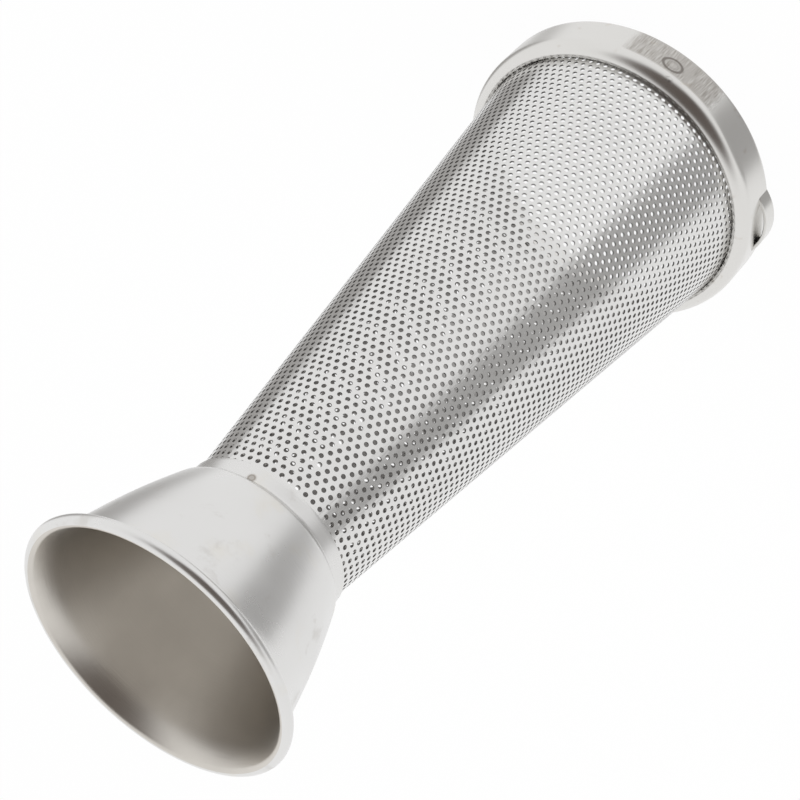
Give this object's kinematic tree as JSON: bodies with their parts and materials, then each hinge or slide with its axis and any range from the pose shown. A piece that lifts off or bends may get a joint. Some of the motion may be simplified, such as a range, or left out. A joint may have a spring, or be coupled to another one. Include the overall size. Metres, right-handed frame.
{
  "type": "tomato press strainer cone",
  "caption": "Perforated sheet-steel strainer cone with a lugged bayonet collar at the wide end and a flared outlet bell with a rolled lip at the small end.",
  "frame": {"origin": "centre of the collar's open rim, in the plane the part stands on", "axes": "+Z along the cone's axis from the collar to the bell; -Y through the middle line of the screen's sheet, so the welded seam is at +Y; +X to the right when seen from the front"},
  "size_m": [0.0762, 0.0762, 0.1838],
  "materials": {
    "perforated_sheet": "satin stainless sheet, perforated",
    "collar_sheet": "pressed stainless sheet, satin with a ground patch",
    "bell_sheet": "spun stainless sheet, semi-bright outside and satin inside"
  },
  "bodies": {
    "root": {"screen": "perforated_sheet", "collar": "collar_sheet", "bell": "bell_sheet"}
  },
  "joints": []
}
